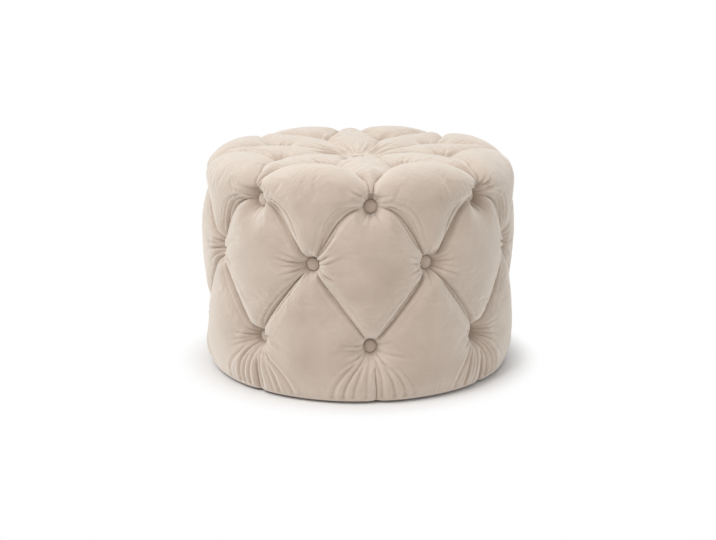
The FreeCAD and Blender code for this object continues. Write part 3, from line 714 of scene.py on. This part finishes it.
def button_shape(around=48, gathers=12):
    """One covered button, with small gathers of the velvet round its rim."""
    turn = np.arange(around) * 2 * math.pi / around
    rings = []
    for outline_r, z in BUTTON_OUTLINE:
        near_rim = math.exp(-(((outline_r - BUTTON_R) / GATHER_REACH) ** 2))
        r = outline_r + GATHER_DEPTH * np.sin(turn * gathers) * near_rim
        rings.append(np.column_stack([r * np.cos(turn), r * np.sin(turn), np.full(around, z)]))
    points = np.concatenate([*rings, [[0, 0, 0], [0, 0, BUTTON_TOP]]]) * MM
    return mesh_object("button_shape", points, capped_faces(len(rings), around))


def spread(name, shape, places, finish):
    """Copies of a shape at places, each a position in mm and a rotation as Euler angles."""
    made = mesh_object(name, [np.array(p) * MM for p, _ in places], [], False)
    turns = made.data.attributes.new("turn", "FLOAT_VECTOR", "POINT")
    turns.data.foreach_set("vector", np.array([e for _, e in places], float).ravel())
    tree = bpy.data.node_groups.new(name + "_copies", "GeometryNodeTree")
    face = tree.interface
    face.new_socket("Geometry", in_out="INPUT", socket_type="NodeSocketGeometry")
    inputs = ("Shape", "Object", shape), ("Size", "Float", 1.0), ("Finish", "Material", finish)
    values = {}
    for label, kind, value in inputs:
        socket = face.new_socket(label, in_out="INPUT", socket_type="NodeSocket" + kind)
        values[socket.identifier] = value
    face.new_socket("Geometry", in_out="OUTPUT", socket_type="NodeSocketGeometry")
    given = node(tree, "NodeGroupInput").outputs
    one = node(tree, "GeometryNodeObjectInfo", {"Object": given["Shape"]}).outputs["Geometry"]
    named = node(tree, "GeometryNodeInputNamedAttribute", {"Name": "turn"}, data_type="FLOAT_VECTOR")
    rotation = node(tree, "FunctionNodeEulerToRotation", {"Euler": named.outputs["Attribute"]})
    copying = {
        "Points": given["Geometry"],
        "Instance": one,
        "Rotation": rotation.outputs["Rotation"],
        "Scale": given["Size"],
    }
    copies = node(tree, "GeometryNodeInstanceOnPoints", copying).outputs["Instances"]
    real = node(tree, "GeometryNodeRealizeInstances", {"Geometry": copies}).outputs["Geometry"]
    dressed = node(tree, "GeometryNodeSetMaterial", {"Geometry": real, "Material": given["Finish"]})
    node(tree, "NodeGroupOutput", {"Geometry": dressed.outputs["Geometry"]})
    modifier = made.modifiers.new("copies", "NODES")
    modifier.node_group = tree
    for identifier, value in values.items():
        modifier[identifier] = value
    apply_modifiers(made)
    made.data.shade_smooth()
    put_on(made, finish)
    return made


def side_places(z, offset):
    """Places of one row's buttons round the side, with their faces outwards."""
    places = []
    for i in range(COLUMNS):
        turn = FIRST_COLUMN + (i + offset) * PITCH
        facing = Matrix.Rotation(turn, 3, "Z") @ Matrix.Rotation(math.pi / 2, 3, "Y")
        r = PIT_R + BUTTON_SEAT
        places.append(((r * math.cos(turn), r * math.sin(turn), z), tuple(facing.to_euler())))
    return places


def top_places():
    """Places of the middle button of the top and of the ring round it."""
    z = PIT_Z + BUTTON_SEAT
    places = [((0, 0, z), (0, 0, 0))]
    for i in range(COLUMNS):
        turn = FIRST_COLUMN + (i + 0.5) * PITCH
        places.append(((RING_R * math.cos(turn), RING_R * math.sin(turn), z), (0, 0, turn)))
    return places


shape = button_shape()
button_rows = {
    "top_buttons": top_places(),
    "upper_row_buttons": side_places(UPPER_Z, 0),
    "middle_row_buttons": side_places(MIDDLE_Z, 0.5),
    "lower_row_buttons": side_places(LOWER_Z, 0),
}
for name, places in button_rows.items():
    row = spread(name.replace("buttons", "covered_buttons"), shape, places, button_velvet)
    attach(row, "root")
    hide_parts(name)
bpy.data.objects.remove(shape)

# The padded cover

padding = tufted_cover(*FULL_GRID)
put_on(padding, cover_velvet)
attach(padding, "root")
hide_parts("velvet_cover", "wadding", "side_foam", "top_foam")


# Base cloth

CLOTH_R, CLOTH_Z, CLOTH_THICKNESS = 225.0, 4.6, 0.6
SAG, EDGE_SAG = 0.275, 0.03  # in the middle, and between the staples


def base_cloth(rings=30, around=96):
    """A thin cloth stretched over the underside, which sags a little between its staples."""
    points = [(0, 0, CLOTH_Z - SAG)]
    turn = 2 * math.pi * np.arange(around) / around
    for way in np.arange(1, rings + 1) / rings:
        sag = SAG * (1 - way**2) + EDGE_SAG * way**4 * (1 - np.cos(COLUMNS * turn))
        r = CLOTH_R * way
        points.extend(np.column_stack([r * np.cos(turn), r * np.sin(turn), CLOTH_Z - sag]))
    faces = [[0, 1 + (j + 1) % around, 1 + j] for j in range(around)]
    faces += (grid_faces(rings, around) + 1).tolist()
    made = mesh_object("dust_cloth", np.array(points) * MM, faces)
    solid = made.modifiers.new("thickness", "SOLIDIFY")
    solid.thickness = CLOTH_THICKNESS * MM
    solid.offset = 0
    apply_modifiers(made)
    return made


cloth = base_cloth()
put_on(cloth, spunbond)
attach(cloth, "root")
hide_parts("base_cloth")


# Stage, light and camera

# Distances in metres from the middle of the floor between which it turns from its own shade to plain white
SHADE_ENDS, WHITE_STARTS = 0.238, 0.30
WHITE = linear("#FFFFFF")
AMBIENT = 0.42  # strength of the light from all round


def stage():
    """A pale floor. It keeps the shadow round the tuffet and shows plain white further off."""
    floor = mesh_object("floor", [(-6, -4, 0), (6, -4, 0), (6, 8, 0), (-6, 8, 0)], [[0, 1, 2, 3]], False)
    made, tree = material("pale_floor")
    path = node(tree, "ShaderNodeLightPath").outputs
    rays = {0: path["Is Camera Ray"], 1: path["Is Glossy Ray"]}
    seen = node(tree, "ShaderNodeMath", rays, operation="MAXIMUM").outputs["Value"]
    place = node(tree, "ShaderNodeTexCoord").outputs["Object"]
    away = node(tree, "ShaderNodeVectorMath", {0: place}, operation="LENGTH").outputs["Value"]
    reach = {"Value": away, "From Min": SHADE_ENDS, "From Max": WHITE_STARTS}
    far = node(tree, "ShaderNodeMapRange", reach, interpolation_type="SMOOTHSTEP").outputs["Result"]
    share = node(tree, "ShaderNodeMath", {0: far, 1: seen}, operation="MULTIPLY").outputs["Value"]
    matt = node(tree, "ShaderNodeBsdfDiffuse", {"Color": linear("#F4F4F4")}).outputs["BSDF"]
    white = node(tree, "ShaderNodeEmission", {"Color": WHITE, "Strength": 1.0}).outputs["Emission"]
    mixed = node(tree, "ShaderNodeMixShader", {"Fac": share, 1: matt, 2: white})
    node(tree, "ShaderNodeOutputMaterial", {"Surface": mixed.outputs["Shader"]})
    put_on(floor, made)


def world():
    """Soft light from all round, and a white background."""
    made = bpy.data.worlds.new("studio")
    bpy.context.scene.world = made
    made.use_nodes = True
    tree = made.node_tree
    tree.nodes.clear()
    path = node(tree, "ShaderNodeLightPath").outputs
    rays = {0: path["Is Camera Ray"], 1: path["Is Glossy Ray"]}
    seen = node(tree, "ShaderNodeMath", rays, operation="MAXIMUM").outputs["Value"]
    soft = node(tree, "ShaderNodeBackground", {"Color": WHITE, "Strength": AMBIENT}).outputs["Background"]
    white = node(tree, "ShaderNodeBackground", {"Color": WHITE, "Strength": 1.0}).outputs["Background"]
    mixed = node(tree, "ShaderNodeMixShader", {"Fac": seen, 1: soft, 2: white})
    node(tree, "ShaderNodeOutputWorld", {"Surface": mixed.outputs["Shader"]})


def lamp(name, place, aim, size, watts):
    """A square soft lamp that points at a place."""
    data = bpy.data.lights.new(name, "AREA")
    data.shape = "SQUARE"
    data.size = size
    data.energy = watts
    made = bpy.data.objects.new(name, data)
    made.location = place
    made.rotation_euler = (Vector(aim) - Vector(place)).to_track_quat("-Z", "Y").to_euler()
    bpy.context.scene.collection.objects.link(made)


stage()
world()
# places, aims and sizes in metres, and watts
lamp("key", (-1.3, -1.5, 2.3), (0, 0, 0.18), 1.6, 46)
lamp("fill", (1.9, -1.7, 1.5), (0, 0, 0.18), 1.8, 10)
lamp("top", (0.1, 0.5, 2.5), (0, 0, 0.3), 2.2, 17)

IMAGE_WIDTH, FOCAL_LENGTH, LOOKS_DOWN = 716, 1335, 14.8  # pixels, pixels, degrees
camera = bpy.data.objects.new("camera", bpy.data.cameras.new("camera"))
camera.location = (-0.001, -2.09, 0.695)
camera.rotation_euler = (math.radians(90 - LOOKS_DOWN), 0, 0)
camera.data.sensor_width = 36.0
camera.data.lens = FOCAL_LENGTH / IMAGE_WIDTH * camera.data.sensor_width
bpy.context.scene.collection.objects.link(camera)
bpy.context.scene.camera = camera
bpy.context.scene.view_settings.view_transform = "Standard"
